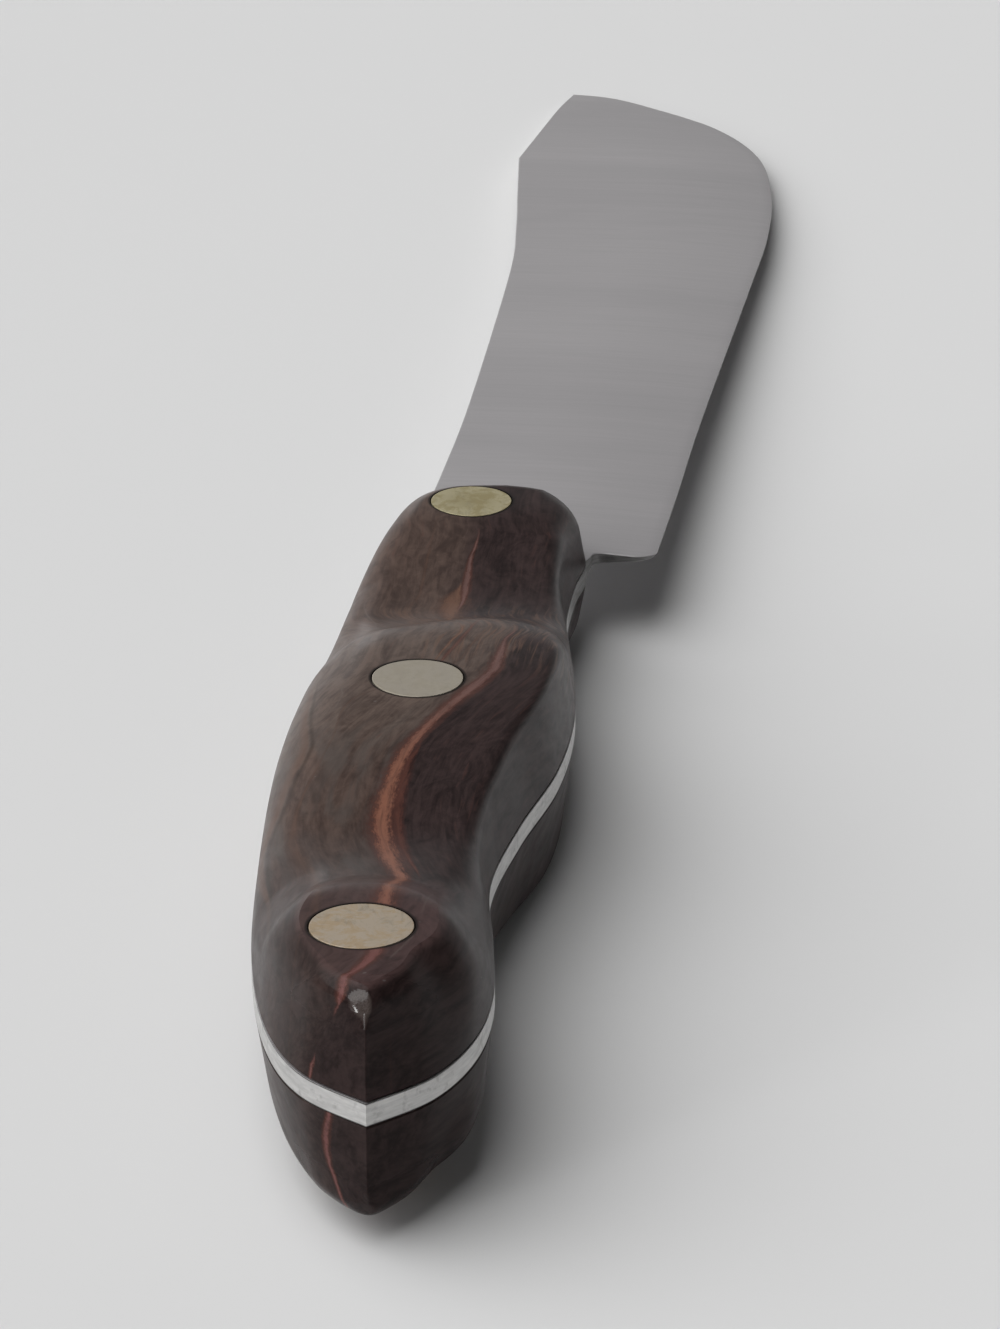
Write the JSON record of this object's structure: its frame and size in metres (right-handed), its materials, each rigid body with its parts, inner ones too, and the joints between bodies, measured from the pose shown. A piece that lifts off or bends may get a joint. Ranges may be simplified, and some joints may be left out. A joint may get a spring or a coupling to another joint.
{
  "type": "butcher knife",
  "caption": "Full-tang butcher knife with a flared, clip-ended blade and sculpted marbled handle scales held by flush rivets.",
  "frame": {"origin": "Under the middle of the knife's length and width, level with the lowest point of the lower scale, with the knife on its side and its blade level", "axes": "+X along the knife from the butt to the tip, +Y from the cutting edge to the spine, +Z square to the blade's side"},
  "size_m": [0.372, 0.0442, 0.0232],
  "materials": {
    "steel": "satin, faint grain across the blade",
    "resin": "polished dark brown with red and orange veins",
    "nickel_silver": "nickel silver, ground flush, lightly stained"
  },
  "bodies": {
    "root": {"blade": "steel", "upper_scale": "resin", "lower_scale": "resin", "rear_rivet_pin": "nickel_silver", "rear_rivet_tube": "nickel_silver", "middle_rivet_pin": "nickel_silver", "middle_rivet_tube": "nickel_silver", "front_rivet_pin": "nickel_silver", "front_rivet_tube": "nickel_silver"}
  },
  "joints": []
}
